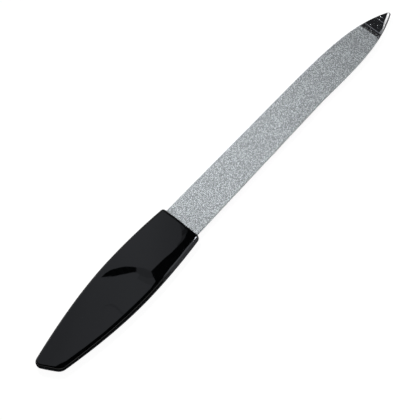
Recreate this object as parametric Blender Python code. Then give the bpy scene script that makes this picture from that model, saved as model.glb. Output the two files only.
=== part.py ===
"""Sapphire nail file: a pointed steel blade with a coarse and a fine coat of sapphire grit,
and a one-piece handle moulded round the blade's tang.

Units are metres. The pieces are drawn with the middle of the handle's front edge as their own
zero: +X runs to the point, +Y to the blade's left edge and +Z up from the middle of the steel.
They hang on an empty that puts the origin at the middle of the file's outline, on the surface
that it lies on.
"""

import math

import bmesh
import bpy
from mathutils import Matrix, Vector

# Blade, ahead of the handle
BLADE_REACH = 0.0939
BLADE_THICKNESS = 0.0010
BLADE_ROOT_WIDTH = 0.0115
BLADE_WAIST_WIDTH = 0.0103

# Point of the blade: both edges curve in, the left one earlier than the right one
POINT_LENGTH = 0.0361
POINT_DRIFT = 0.0011
POINT_OFFSET = 0.0013
POINT_NOSE_WIDTH = 0.0008
POINT_NOSE_RADIUS = 0.0004
LEFT_EDGE_POWER = 3.5
RIGHT_EDGE_POWER = 3.7

# Flats ground on both faces of the bare point, and the bevel on the right edge of the upper face
FIRST_FLAT_LENGTH = 0.0075
FIRST_FLAT_ANGLE = math.radians(1.6)
SECOND_FLAT_LENGTH = 0.0039
SECOND_FLAT_ANGLE = math.radians(3.4)
EDGE_BEVEL_LENGTH = 0.0078
EDGE_BEVEL_WIDTH = 0.0008
EDGE_BEVEL_ANGLE = math.radians(16)

# Tang and its lock holes, inside the handle
ROOT_DEPTH = 0.0045
ROOT_CORNER_RADIUS = 0.0008
TANG_WIDTH = 0.0070
TANG_LENGTH = 0.0400
TANG_END_RADIUS = 0.0022
LOCK_HOLE_DIAMETER = 0.0030
LOCK_HOLE_SPACING = 0.0180
LOCK_HOLE_FROM_END = 0.0080

# Grit coats
GRIT_THICKNESS = 0.00016
GRIT_MARGIN = 0.00006
GRIT_SHORT_OF_POINT = 0.0091
GRIT_DEPTH_IN_HANDLE = 0.0020

# Handle outline, seen from above
HANDLE_LENGTH = 0.0577
HANDLE_WIDTH = 0.0160
HANDLE_FRONT_WIDTH = 0.0138
HANDLE_BUTT_WIDTH = 0.0071
HANDLE_WIDEST_BEHIND_FRONT = 0.0214
HANDLE_TAIL_STRAIGHTNESS = 0.39
HANDLE_LEAN = 0.0007
BUTT_SLANT = math.radians(29.1)
FRONT_CORNER_RADIUS = 0.0010
BUTT_LEFT_RADIUS = 0.0017
BUTT_RIGHT_RADIUS = 0.0029

# Handle thickness: along the middle, and at the shoulder where the crown meets the side wall
CREST_THICKNESS = 0.0048
FRONT_THICKNESS = 0.0036
BUTT_THICKNESS = 0.0028
CREST_SHOULDER = 0.0030
FRONT_SHOULDER = 0.0027
BUTT_SHOULDER = 0.0020
SHOULDER_RADIUS = 0.0006
SIDE_DRAFT = 0.00006
REST_FLAT_DEPTH = 0.00005

# Clearances between pieces
TANG_CLEARANCE = 0.0001
COAT_CLEARANCE = 0.00002

# Fineness of the curves
EDGE_STEPS = 26
BLADE_STEPS = 6
SIDE_STEPS = 26
END_STEPS = 7
CORNER_STEPS = 4
FILLET_STEPS = 4
HOLE_SIDES = 32
SOLVE_STEPS = 20
SMOOTH_ANGLE = math.radians(32)
UPRIGHT_LIMIT = 0.5

# How far a cutter stands out of what it cuts
OVERCUT = 0.001


def clear_scene():
    for item in list(bpy.data.objects):
        bpy.data.objects.remove(item, do_unlink=True)


def make_material(name, colour, roughness, metallic):
    material = bpy.data.materials.new(name)
    material.use_nodes = True
    shader = material.node_tree.nodes["Principled BSDF"]
    shader.inputs["Base Color"].default_value = (*colour, 1.0)
    shader.inputs["Roughness"].default_value = roughness
    shader.inputs["Metallic"].default_value = metallic
    return material


def add_object(name, builder, material, parent, flat_faces=True):
    """Turn a finished bmesh into an object that hangs on the file's empty. A plate's two faces
    and the flats ground on them stay flat, and what stands upright is shaded round."""
    bmesh.ops.recalc_face_normals(builder, faces=builder.faces)
    for face in builder.faces:
        face.smooth = not flat_faces or abs(face.normal.z) < UPRIGHT_LIMIT
    mesh = bpy.data.meshes.new(name)
    builder.to_mesh(mesh)
    builder.free()
    mesh.set_sharp_from_angle(angle=SMOOTH_ANGLE)
    if material:
        mesh.materials.append(material)
    item = bpy.data.objects.new(name, mesh)
    item.parent = parent
    bpy.context.collection.objects.link(item)
    return item


def mark_as_cutter(item):
    item.hide_render = True
    item.display_type = "WIRE"


def cut_away(item, cutter):
    modifier = item.modifiers.new("cut_" + cutter.name, "BOOLEAN")
    modifier.operation = "DIFFERENCE"
    modifier.solver = "EXACT"
    modifier.object = cutter


def corner_reach(radius, angle):
    """How far a rounded corner of this inner angle runs along each of its two sides."""
    return radius / math.tan(angle / 2)


def round_corner(before, corner, after, radius):
    """Points of the arc that rounds a corner, from the side of before to the side of after."""
    to_before = (before - corner).normalized()
    to_after = (after - corner).normalized()
    angle = to_before.angle(to_after)
    start = corner + to_before * corner_reach(radius, angle)
    centre = corner + (to_before + to_after).normalized() * radius / math.sin(angle / 2)
    turn = math.copysign(math.pi - angle, to_after.cross(to_before))
    spoke = start - centre
    return [centre + Matrix.Rotation(turn * step / CORNER_STEPS, 2) @ spoke
            for step in range(CORNER_STEPS + 1)]


def rounded_outline(corners):
    """Outline of (point, radius) corners. A radius of 0 keeps the point as it is."""
    outline = []
    for index, (corner, radius) in enumerate(corners):
        if radius > 0:
            before = corners[index - 1][0]
            after = corners[(index + 1) % len(corners)][0]
            outline += round_corner(before, corner, after, radius)
        else:
            outline.append(corner)
    return outline


def plate(outline, low, high):
    """Upright-sided plate of an outline, between two heights."""
    builder = bmesh.new()
    rim = [builder.verts.new((point.x, point.y, low)) for point in outline]
    base = builder.faces.new(rim)
    raised = bmesh.ops.extrude_face_region(builder, geom=[base])["geom"]
    top = [part for part in raised if isinstance(part, bmesh.types.BMVert)]
    bmesh.ops.translate(builder, verts=top, vec=(0, 0, high - low))
    return builder


def grind(builder, point, normal):
    """Take off what lies on the outer side of a plane, and close the cut."""
    parts = builder.verts[:] + builder.edges[:] + builder.faces[:]
    cut = bmesh.ops.bisect_plane(builder, geom=parts, plane_co=point, plane_no=normal,
                                 clear_outer=True)["geom_cut"]
    edges = [part for part in cut if isinstance(part, bmesh.types.BMEdge)]
    bmesh.ops.edgeloop_fill(builder, edges=edges)


def post(name, x, radius, half_height, parent):
    """Round cutter or plug guide that stands through the steel on its centreline."""
    builder = bmesh.new()
    bmesh.ops.create_cone(builder, cap_ends=True, segments=HOLE_SIDES, radius1=radius,
                          radius2=radius, depth=2 * half_height)
    item = add_object(name, builder, None, parent)
    item.location.x = x
    mark_as_cutter(item)
    return item


# Blade

def blade_edge(x, side):
    """Y of the blade's left (side 1) or right (side -1) edge."""
    point_start = BLADE_REACH - POINT_LENGTH
    taper = min(max(x, 0.0) / point_start, 1.0)
    half = (BLADE_ROOT_WIDTH + (BLADE_WAIST_WIDTH - BLADE_ROOT_WIDTH) * taper) / 2
    t = max(x - point_start, 0.0) / POINT_LENGTH
    power = LEFT_EDGE_POWER if side > 0 else RIGHT_EDGE_POWER
    nose = side * POINT_NOSE_WIDTH / 2 - POINT_OFFSET
    fall = side * half - POINT_DRIFT - nose
    return side * half - POINT_DRIFT * t - fall * t ** power


def blade_stations(start, end):
    """X places along the blade's edges: few on the straight run, more round the point."""
    point_start = BLADE_REACH - POINT_LENGTH
    straight = [start + (point_start - start) * step / BLADE_STEPS for step in range(BLADE_STEPS)]
    curved = [point_start + (end - point_start) * step / EDGE_STEPS
              for step in range(EDGE_STEPS + 1)]
    return straight + curved


def blade_outline():
    shoulder = -ROOT_DEPTH
    tang_end = shoulder - TANG_LENGTH
    stations = blade_stations(0.0, BLADE_REACH)
    corners = []
    for side in (1, -1):
        half_root = side * BLADE_ROOT_WIDTH / 2
        half_tang = side * TANG_WIDTH / 2
        run = [(Vector((x, blade_edge(x, side))), 0) for x in stations[:-1]]
        nose = (Vector((BLADE_REACH, blade_edge(BLADE_REACH, side))), POINT_NOSE_RADIUS)
        heel = [(Vector((shoulder, half_root)), ROOT_CORNER_RADIUS),
                (Vector((shoulder, half_tang)), ROOT_CORNER_RADIUS),
                (Vector((tang_end, half_tang)), TANG_END_RADIUS)]
        half_outline = [nose] + run[::-1] + heel
        corners += half_outline if side > 0 else half_outline[::-1]
    return rounded_outline(corners)


def lock_hole_places():
    rear = -ROOT_DEPTH - TANG_LENGTH + LOCK_HOLE_FROM_END
    return (rear, rear + LOCK_HOLE_SPACING)


def make_blade(parent, steel):
    half = BLADE_THICKNESS / 2
    builder = plate(blade_outline(), -half, half)
    first = Vector((BLADE_REACH - FIRST_FLAT_LENGTH, 0, half))
    drop = (FIRST_FLAT_LENGTH - SECOND_FLAT_LENGTH) * math.tan(FIRST_FLAT_ANGLE)
    second = Vector((BLADE_REACH - SECOND_FLAT_LENGTH, 0, half - drop))
    for line, angle in ((first, FIRST_FLAT_ANGLE), (second, SECOND_FLAT_ANGLE)):
        for face in (1, -1):
            normal = Vector((math.sin(angle), 0, face * math.cos(angle)))
            grind(builder, Vector((line.x, 0, face * line.z)), normal)

    bevel_start = BLADE_REACH - EDGE_BEVEL_LENGTH
    nose_height = second.z - SECOND_FLAT_LENGTH * math.tan(SECOND_FLAT_ANGLE)
    bevel_heel = Vector((bevel_start, blade_edge(bevel_start, -1), half))
    bevel_nose = Vector((BLADE_REACH, blade_edge(BLADE_REACH, -1) + EDGE_BEVEL_WIDTH, nose_height))
    along = (bevel_nose - bevel_heel).normalized()
    sideways = along.cross(Vector((0, 0, 1))).normalized()
    upward = sideways.cross(along)
    grind(builder, bevel_nose,
          sideways * math.sin(EDGE_BEVEL_ANGLE) + upward * math.cos(EDGE_BEVEL_ANGLE))

    blade = add_object("blade", builder, steel, parent)
    for number, x in enumerate(lock_hole_places()):
        cutter = post(f"lock_hole_cutter_{number}", x, LOCK_HOLE_DIAMETER / 2,
                      BLADE_THICKNESS, parent)
        cut_away(blade, cutter)
    return blade


def make_grit_coat(name, face, parent, material):
    """Thin coat that covers one face of the blade, from inside the handle to the bare point."""
    start = -GRIT_DEPTH_IN_HANDLE
    end = BLADE_REACH - GRIT_SHORT_OF_POINT
    stations = blade_stations(start, end)
    left = [Vector((x, blade_edge(x, 1) - GRIT_MARGIN)) for x in stations]
    right = [Vector((x, blade_edge(x, -1) + GRIT_MARGIN)) for x in stations]
    low = BLADE_THICKNESS / 2 + COAT_CLEARANCE
    high = low + GRIT_THICKNESS
    builder = plate(left[::-1] + right, min(face * low, face * high), max(face * low, face * high))
    return add_object(name, builder, material, parent)


# Handle

def handle_fall(x, front_fall, butt_fall):
    """How much a size has fallen, at x, from its value at the handle's widest station."""
    behind = -x - HANDLE_WIDEST_BEHIND_FRONT
    if behind < 0:
        return front_fall * (behind / HANDLE_WIDEST_BEHIND_FRONT) ** 2
    t = behind / (HANDLE_LENGTH - HANDLE_WIDEST_BEHIND_FRONT)
    return butt_fall * t * t * (1 + HANDLE_TAIL_STRAIGHTNESS) / (1 + HANDLE_TAIL_STRAIGHTNESS * t)


def handle_half(x, greatest, front, butt):
    """Half of a size that is greatest at the widest station and less at both ends."""
    return (greatest - handle_fall(x, greatest - front, greatest - butt)) / 2


def handle_middle(x):
    """Y of the handle's own centreline, which leans a little to the right behind the blade."""
    return HANDLE_LEAN * x / HANDLE_LENGTH


def handle_side(x, side):
    half = handle_half(x, HANDLE_WIDTH, HANDLE_FRONT_WIDTH, HANDLE_BUTT_WIDTH)
    return Vector((x, handle_middle(x) + side * half))


def butt_corner(side):
    """Where a side of the handle meets the slanted line of its butt end."""
    x = -HANDLE_LENGTH
    for _ in range(SOLVE_STEPS):
        x = -HANDLE_LENGTH - math.tan(BUTT_SLANT) * handle_side(x, side).y
    return handle_side(x, side)


def side_run(side, butt_radius):
    """Points along one side, between the stretches that its two rounded corners take."""
    butt = butt_corner(side)
    butt_angle = math.pi / 2 - side * BUTT_SLANT
    start = -corner_reach(FRONT_CORNER_RADIUS, math.pi / 2)
    end = butt.x + corner_reach(butt_radius, butt_angle)
    return [handle_side(start + (end - start) * step / SIDE_STEPS, side)
            for step in range(SIDE_STEPS + 1)]


def even_run(start, end):
    """Points between two arc ends, without the ends themselves."""
    return [start.lerp(end, step / END_STEPS) for step in range(1, END_STEPS)]


def handle_rails():
    """The outline as four runs, counter-clockwise from the front left, that meet halfway round
    the four rounded corners."""
    left = side_run(1, BUTT_LEFT_RADIUS)
    right = side_run(-1, BUTT_RIGHT_RADIUS)
    front_left, front_right = handle_side(0.0, 1), handle_side(0.0, -1)
    butt_left, butt_right = butt_corner(1), butt_corner(-1)
    arc_fl = round_corner(front_right, front_left, left[0], FRONT_CORNER_RADIUS)
    arc_bl = round_corner(left[-1], butt_left, butt_right, BUTT_LEFT_RADIUS)
    arc_br = round_corner(butt_left, butt_right, right[-1], BUTT_RIGHT_RADIUS)
    arc_fr = round_corner(right[0], front_right, front_left, FRONT_CORNER_RADIUS)
    half = CORNER_STEPS // 2
    return (arc_fl[half:] + left + arc_bl[:half + 1],
            arc_bl[half:] + even_run(arc_bl[-1], arc_br[0]) + arc_br[:half + 1],
            arc_br[half:] + right[::-1] + arc_fr[:half + 1],
            arc_fr[half:] + even_run(arc_fr[-1], arc_fl[0]) + arc_fl[:half + 1])


def handle_crown(point):
    """Height of the crowned upper face above the middle of the steel."""
    middle = handle_half(point.x, CREST_THICKNESS, FRONT_THICKNESS, BUTT_THICKNESS)
    shoulder = handle_half(point.x, CREST_SHOULDER, FRONT_SHOULDER, BUTT_SHOULDER)
    half_width = handle_half(point.x, HANDLE_WIDTH, HANDLE_FRONT_WIDTH, HANDLE_BUTT_WIDTH)
    across = (point.y - handle_middle(point.x)) / half_width
    return middle - (middle - shoulder) * across ** 2


def inset_loop(loop, distance):
    """The closed loop moved inward, square to itself."""
    moved = []
    for index, point in enumerate(loop):
        along = (loop[(index + 1) % len(loop)] - loop[index - 1]).normalized()
        moved.append(point + Vector((-along.y, along.x)) * distance)
    return moved


def wall_rings(builder, face, loop, parting):
    """Side wall and rounded shoulder of one half, from the parting line in to the crown."""
    rings = [parting]
    for step in range(FILLET_STEPS + 1):
        turn = math.pi / 2 * step / FILLET_STEPS
        drop = SHOULDER_RADIUS * (1 - math.sin(turn))
        inner = inset_loop(loop, SIDE_DRAFT + SHOULDER_RADIUS * (1 - math.cos(turn)))
        rings.append([builder.verts.new((point.x, point.y, face * (handle_crown(point) - drop)))
                      for point in inner])
    for outer, inner in zip(rings, rings[1:]):
        for index in range(len(loop)):
            builder.faces.new((outer[index - 1], outer[index], inner[index], inner[index - 1]))
    return rings[-1]


def crown_grid(builder, face, ring, side_count, end_count):
    """Crowned face inside the innermost ring, in rows that run across the handle."""
    closed = ring + ring[:1]
    left = closed[:side_count + 1]
    butt = closed[side_count:side_count + end_count + 1]
    right = closed[side_count + end_count:2 * side_count + end_count + 1][::-1]
    front = closed[2 * side_count + end_count:][::-1]
    grid = [front]
    for row in range(1, side_count):
        u = row / side_count
        line = [left[row]]
        for column in range(1, end_count):
            v = column / end_count
            between_sides = left[row].co.xy.lerp(right[row].co.xy, v)
            between_ends = front[column].co.xy.lerp(butt[column].co.xy, u)
            front_chord = left[0].co.xy.lerp(right[0].co.xy, v)
            butt_chord = left[-1].co.xy.lerp(right[-1].co.xy, v)
            point = between_sides + between_ends - front_chord.lerp(butt_chord, u)
            line.append(builder.verts.new((point.x, point.y, face * handle_crown(point))))
        grid.append(line + [right[row]])
    grid.append(butt)
    for near, far in zip(grid, grid[1:]):
        for column in range(end_count):
            builder.faces.new((near[column], far[column], far[column + 1], near[column + 1]))


def socket_outline():
    """Outline of the space that the blade's root and tang take in the handle."""
    gap = TANG_CLEARANCE
    shoulder = -ROOT_DEPTH - gap
    tang_end = -ROOT_DEPTH - TANG_LENGTH - gap
    root_half = BLADE_ROOT_WIDTH / 2 + gap
    tang_half = TANG_WIDTH / 2 + gap
    corners = []
    for side in (1, -1):
        half = [(Vector((OVERCUT, side * root_half)), 0),
                (Vector((shoulder, side * root_half)), ROOT_CORNER_RADIUS + gap),
                (Vector((shoulder, side * tang_half)), ROOT_CORNER_RADIUS - gap),
                (Vector((tang_end, side * tang_half)), TANG_END_RADIUS + gap)]
        corners += half if side > 0 else half[::-1]
    return rounded_outline(corners)


def make_handle(parent, plastic):
    rails = handle_rails()
    loop = [point for rail in rails for point in rail[:-1]]
    builder = bmesh.new()
    parting = [builder.verts.new((point.x, point.y, 0.0)) for point in loop]
    for face in (1, -1):
        ring = wall_rings(builder, face, loop, parting)
        crown_grid(builder, face, ring, len(rails[0]) - 1, len(rails[1]) - 1)
    grind(builder, Vector((0, 0, REST_FLAT_DEPTH - CREST_THICKNESS / 2)), Vector((0, 0, -1)))
    handle = add_object("handle", builder, plastic, parent, flat_faces=False)

    half_space = BLADE_THICKNESS / 2 + TANG_CLEARANCE
    socket = add_object("socket_cutter", plate(socket_outline(), -half_space, half_space),
                        None, parent)
    mark_as_cutter(socket)
    for number, x in enumerate(lock_hole_places()):
        plug = post(f"lock_plug_guide_{number}", x, LOCK_HOLE_DIAMETER / 2 - TANG_CLEARANCE,
                    BLADE_THICKNESS, parent)
        cut_away(socket, plug)

    mouth_half = BLADE_ROOT_WIDTH / 2 + TANG_CLEARANCE
    mouth_back = -GRIT_DEPTH_IN_HANDLE - TANG_CLEARANCE
    mouth_rim = [Vector((OVERCUT, mouth_half)), Vector((mouth_back, mouth_half)),
                 Vector((mouth_back, -mouth_half)), Vector((OVERCUT, -mouth_half))]
    mouth_space = BLADE_THICKNESS / 2 + COAT_CLEARANCE + GRIT_THICKNESS + TANG_CLEARANCE
    mouth = add_object("mouth_cutter", plate(mouth_rim, -mouth_space, mouth_space), None, parent)
    mark_as_cutter(mouth)
    cut_away(handle, socket)
    cut_away(handle, mouth)
    return handle


def make_file():
    clear_scene()
    loop = [point for rail in handle_rails() for point in rail]
    back = min(point.x for point in loop)
    right = min(point.y for point in loop)
    left = max(point.y for point in loop)
    whole = bpy.data.objects.new("nail_file", None)
    whole.location = (-(back + BLADE_REACH) / 2, -(left + right) / 2,
                      CREST_THICKNESS / 2 - REST_FLAT_DEPTH)
    bpy.context.collection.objects.link(whole)

    steel = make_material("nickel_plated_steel", (0.55, 0.55, 0.56), 0.22, 1.0)
    coarse = make_material("coarse_sapphire_grit", (0.40, 0.42, 0.43), 0.75, 0.2)
    fine = make_material("fine_sapphire_grit", (0.46, 0.48, 0.49), 0.7, 0.2)
    plastic = make_material("black_gloss_plastic", (0.006, 0.006, 0.007), 0.08, 0.0)

    make_blade(whole, steel)
    make_grit_coat("coarse_grit_coat", 1, whole, coarse)
    make_grit_coat("fine_grit_coat", -1, whole, fine)
    make_handle(whole, plastic)
    bpy.context.view_layer.update()


make_file()
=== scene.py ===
import math

import bmesh
import bpy
import numpy as np
from mathutils import Matrix, Vector


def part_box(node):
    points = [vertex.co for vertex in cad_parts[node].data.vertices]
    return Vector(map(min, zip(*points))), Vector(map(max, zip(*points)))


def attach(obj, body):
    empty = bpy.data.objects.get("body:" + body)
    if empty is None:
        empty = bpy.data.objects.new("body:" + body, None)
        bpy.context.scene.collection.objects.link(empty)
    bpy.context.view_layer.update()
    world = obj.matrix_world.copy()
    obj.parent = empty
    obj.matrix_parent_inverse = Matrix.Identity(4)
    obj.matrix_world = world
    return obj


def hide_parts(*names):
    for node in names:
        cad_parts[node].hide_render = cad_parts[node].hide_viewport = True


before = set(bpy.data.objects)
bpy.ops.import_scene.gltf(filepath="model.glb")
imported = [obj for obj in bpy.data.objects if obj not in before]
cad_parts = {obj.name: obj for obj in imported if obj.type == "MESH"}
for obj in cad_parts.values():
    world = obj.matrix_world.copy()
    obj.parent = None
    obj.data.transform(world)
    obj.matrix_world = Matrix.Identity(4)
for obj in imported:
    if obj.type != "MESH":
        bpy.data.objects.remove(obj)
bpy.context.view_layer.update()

# Looks of a sapphire nail file: the steel blade with its ground point, the two coats of crushed
# sapphire, and the gloss black handle. Metres and radians. The pieces are drawn in the file's own
# frame, as the solids are: zero is the middle of the handle's front edge at the middle of the
# steel, +X runs to the point and +Y to the left edge. ZERO moves them to their place in the frame.

# Blade: the solid's outline, with the ground lines and the bevel as the photograph has them
BLADE_REACH = 0.0939
BLADE_THICKNESS = 0.0010
BLADE_ROOT_WIDTH = 0.0115
BLADE_WAIST_WIDTH = 0.0103
POINT_LENGTH = 0.0361
POINT_DRIFT = 0.0011
POINT_OFFSET = 0.0013
POINT_NOSE_WIDTH = 0.0008
POINT_NOSE_RADIUS = 0.0004
LEFT_EDGE_POWER = 3.5
RIGHT_EDGE_POWER = 3.7
FIRST_FLAT_LENGTH = 0.0079
FIRST_FLAT_ANGLE = math.radians(1.6)
SECOND_FLAT_LENGTH = 0.0042
SECOND_FLAT_ANGLE = math.radians(3.4)
EDGE_BEVEL_LENGTH = 0.0078
EDGE_BEVEL_WIDTH = 0.0010
EDGE_BEVEL_ANGLE = math.radians(16)
ROOT_DEPTH = 0.0045
ROOT_CORNER_RADIUS = 0.0008
TANG_WIDTH = 0.0070
TANG_LENGTH = 0.0400
TANG_END_RADIUS = 0.0022
LOCK_HOLE_DIAMETER = 0.0030
LOCK_HOLE_SPACING = 0.0180
LOCK_HOLE_FROM_END = 0.0080

# Grit coats: the solids' thickness, ending a little further from the point
GRIT_THICKNESS = 0.00016
GRIT_MARGIN = 0.00006
GRIT_SHORT_OF_POINT = 0.0096
GRIT_DEPTH_IN_HANDLE = 0.0020

# Places along the file that follow from these sizes
POINT_START = BLADE_REACH - POINT_LENGTH
GRIT_START = -GRIT_DEPTH_IN_HANDLE
GRIT_END = BLADE_REACH - GRIT_SHORT_OF_POINT

# Handle: the solid's shape, a hundredth of a millimetre lower on each face and a little
# narrower, because its finer curves would otherwise stand out of the solid's box. Its front edge
# stands further forward, by FRONT_REACH, and has a wider rounding of its own.
HANDLE_LENGTH = 0.0577
HANDLE_WIDTH = 0.015996
HANDLE_FRONT_WIDTH = 0.0138
HANDLE_BUTT_WIDTH = 0.0071
HANDLE_WIDEST_BEHIND_FRONT = 0.0214
HANDLE_TAIL_STRAIGHTNESS = 0.39
HANDLE_LEAN = 0.0007
BUTT_SLANT = math.radians(29.1)
FRONT_CORNER_RADIUS = 0.0010
BUTT_LEFT_RADIUS = 0.0017
BUTT_RIGHT_RADIUS = 0.0029
CREST_THICKNESS = 0.00478
FRONT_THICKNESS = 0.00358
BUTT_THICKNESS = 0.00278
CREST_SHOULDER = 0.00298
FRONT_SHOULDER = 0.00268
BUTT_SHOULDER = 0.00198
SHOULDER_RADIUS = 0.0006
FRONT_REACH = 0.00020
FRONT_EDGE_RADIUS = 0.0009
SIDE_DRAFT = 0.00006
REST_FLAT_DEPTH = 0.00004
TANG_CLEARANCE = 0.0001
COAT_CLEARANCE = 0.00002
OVERCUT = 0.001
SOLVE_STEPS = 20

# Surface detail that only the looks have. The heel's two places are distances from the point.
EDGE_BREAK = 0.00004
FIRST_SCRIBE_HALF_WIDTH = 0.00010
SECOND_SCRIBE_HALF_WIDTH = 0.00007
SCRIBE_SLOPE = 0.36
NICK_FROM_POINT = 0.0030
NICK_MIDDLE = -0.0005
NICK_HALF_LENGTH = 0.00045
NICK_HALF_WIDTH = 0.00015
NICK_DEPTH = 0.000054
RIM_WIDTH = 0.00036
HEEL_NEAR_POINT = (-0.00600, -0.00318)
HEEL_FAR_FROM_POINT = (-0.00787, -0.00336)
PARTING_DEPTH = 0.00005
PARTING_HALF_WIDTH = 0.00005

# Which faces count as upright, by their normal's height, which as flat, and which corners as
# lying on a line that was cut
UPRIGHT_LIMIT = 0.5
FLAT_LIMIT = 0.9
SNAP = 0.000002

# Materials of the blade, in the order its mesh holds them, with the edge one painted with shade,
# and the second one of a bond
PLATED, BEVEL_GROUND, EDGE_PAINTED_SHADE, EDGE_DUSTED, HEEL_GROUND = range(5)
BOND_SIDE = 1

# How noise is stretched into grinding lines across the blade and its bevel, and into hairlines
BLADE_LINES = (14, 0.6, 14)
BEVEL_LINES = (6, 0.5, 6)
HAIRLINES = (0.25, 9, 9)

# Sockets of Blender's mix node when it mixes colours
MIX_SHARE, MIX_FIRST, MIX_SECOND, MIX_RESULT = 0, 6, 7, 2

# Fineness of the curves
EDGE_STEPS = 72
BLADE_STEPS = 12
SIDE_STEPS = 110
END_STEPS = 36
CORNER_STEPS = 12
FILLET_STEPS = 9
HOLE_SIDES = 48
SMOOTH_ANGLE = math.radians(28)

# Crushed sapphire: how far apart, how big and how uneven the grains are, the bond that holds
# them, and the strays beyond it. Jitter is a share of the spacing, sink one of the coat's
# thickness, and shortest, longest, skew and stray size are shares of the grain's size.
COARSE_SPACING = 0.00027
COARSE_GRAIN = 0.00019
FINE_SPACING = 0.00021
FINE_GRAIN = 0.00014
GRAIN_FLATNESS = 0.45
GRAIN_JITTER = 0.42
GRAIN_SHORTEST = 0.65
GRAIN_LONGEST = 1.2
GRAIN_SKEW = 0.15
GRAIN_SINK = 0.35
BOND_THICKNESS = 0.00010
BOND_STEP = 0.00026
BOND_ROUGHNESS = 0.00002
BOND_RAGGED_END = 0.00040
RAGGED_BLUR = (0.25, 0.5, 0.25)
STRAY_REACH = 0.0018
STRAY_SHARE = 0.15
STRAY_SIZE = 0.50

# Camera of the photograph
CAMERA_AZIMUTH = math.radians(-49.380)
CAMERA_ELEVATION = math.radians(63.514)
CAMERA_DISTANCE = 0.53181
CAMERA_AIM = Vector((-0.00830, -0.00232, 0.0))
CAMERA_LENS = 159.523
CAMERA_SENSOR = 36.0
CAMERA_CLIP = (0.01, 20.0)

# Studio: the overhead card that the handle mirrors, with the flags just below it, and the shades
# just above the floor
CARD_HEIGHT = 0.60
CARD_RADIANCE = 0.53
CARD_TINT = (0.945, 0.985, 1.08)
CARD_SLANT = -0.25
SWEEP_RANGE = (-0.09, 0.21)
SWEEP_LEVELS = ((0.0, 0.83), (0.20, 0.85), (0.35, 0.95), (0.50, 1.0),
                (0.66, 1.06), (0.78, 1.04), (0.88, 0.96), (1.0, 0.86))
FLAG_DROP = 0.004
BLACK = 0.0
WHITE = (1, 1, 1)
WORLD_DIFFUSE = 0.30
FLOOR_PAINT = (0.9, 0.9, 0.9, 1)
FLOOR_GLOW = 1.10
FLOOR_SHARE = 0.86
FLOOR_HALF = 2.0
FOOT_SHADE_WIDTH = 0.00078
FOOT_SHADE_HEIGHT = 0.0002
KEY_SPREAD = math.radians(60)


def file_zero():
    low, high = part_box("blade")
    return Vector((high.x - BLADE_REACH, (low.y + high.y) / 2, (low.z + high.z) / 2))


ZERO = file_zero()


# Shapes

def add_piece(name, builder, materials, node=None, flat_faces=False):
    """Turn a bmesh drawn in the file's own frame into a piece of the object. With flat_faces, only
    what stands upright is shaded round."""
    bmesh.ops.recalc_face_normals(builder, faces=builder.faces)
    bmesh.ops.translate(builder, verts=builder.verts, vec=ZERO)
    mesh = bpy.data.meshes.new(name)
    builder.to_mesh(mesh)
    builder.free()
    mesh.set_sharp_from_angle(angle=SMOOTH_ANGLE)
    for polygon in mesh.polygons:
        polygon.use_smooth = not flat_faces or abs(polygon.normal.z) < UPRIGHT_LIMIT
    return place_piece(name, mesh, materials, node)


def new_object(name, data):
    item = bpy.data.objects.new(name, data)
    bpy.context.scene.collection.objects.link(item)
    return item


def place_piece(name, mesh, materials, node=None):
    for material in materials:
        mesh.materials.append(material)
    piece = new_object(name, mesh)
    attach(piece, "root")
    if node:
        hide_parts(node)
    return piece


def corner_reach(radius, angle):
    return radius / math.tan(angle / 2)


def round_corner(before, corner, after, radius):
    to_before = (before - corner).normalized()
    to_after = (after - corner).normalized()
    angle = to_before.angle(to_after)
    start = corner + to_before * corner_reach(radius, angle)
    centre = corner + (to_before + to_after).normalized() * radius / math.sin(angle / 2)
    turn = math.copysign(math.pi - angle, to_after.cross(to_before))
    spoke = start - centre
    return [centre + Matrix.Rotation(turn * step / CORNER_STEPS, 2) @ spoke
            for step in range(CORNER_STEPS + 1)]


def rounded_outline(corners):
    outline = []
    for index, (corner, radius) in enumerate(corners):
        if radius > 0:
            before = corners[index - 1][0]
            after = corners[(index + 1) % len(corners)][0]
            outline += round_corner(before, corner, after, radius)
        else:
            outline.append(corner)
    return outline


def corners_over(builder, points, height):
    return [builder.verts.new((point.x, point.y, height)) for point in points]


def tube(builder, rings):
    """Quads between neighbouring rings of corners."""
    for outer, inner in zip(rings, rings[1:]):
        for index in range(len(outer)):
            builder.faces.new((outer[index - 1], outer[index], inner[index], inner[index - 1]))


def net(builder, lines):
    """Quads between neighbouring lines of corners."""
    for near, far in zip(lines, lines[1:]):
        for index in range(len(near) - 1):
            builder.faces.new((near[index], far[index], far[index + 1], near[index + 1]))


def plate(outline, low, high):
    builder = bmesh.new()
    base = builder.faces.new(corners_over(builder, outline, low))
    raised = bmesh.ops.extrude_face_region(builder, geom=[base])["geom"]
    top = [part for part in raised if isinstance(part, bmesh.types.BMVert)]
    bmesh.ops.translate(builder, verts=top, vec=(0, 0, high - low))
    return builder


def grind(builder, point, normal):
    """Cut off what lies outside a plane and close the cut. Gives the new faces back."""
    whole = builder.verts[:] + builder.edges[:] + builder.faces[:]
    cut = bmesh.ops.bisect_plane(builder, geom=whole, plane_co=point, plane_no=normal,
                                 clear_outer=True)["geom_cut"]
    edges = [part for part in cut if isinstance(part, bmesh.types.BMEdge)]
    return bmesh.ops.edgeloop_fill(builder, edges=edges)["faces"]


def cylinder(x, radius, half_height):
    builder = bmesh.new()
    bmesh.ops.create_cone(builder, cap_ends=True, segments=HOLE_SIDES, radius1=radius,
                          radius2=radius, depth=2 * half_height,
                          matrix=Matrix.Translation((x, 0, 0)))
    return builder


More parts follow.
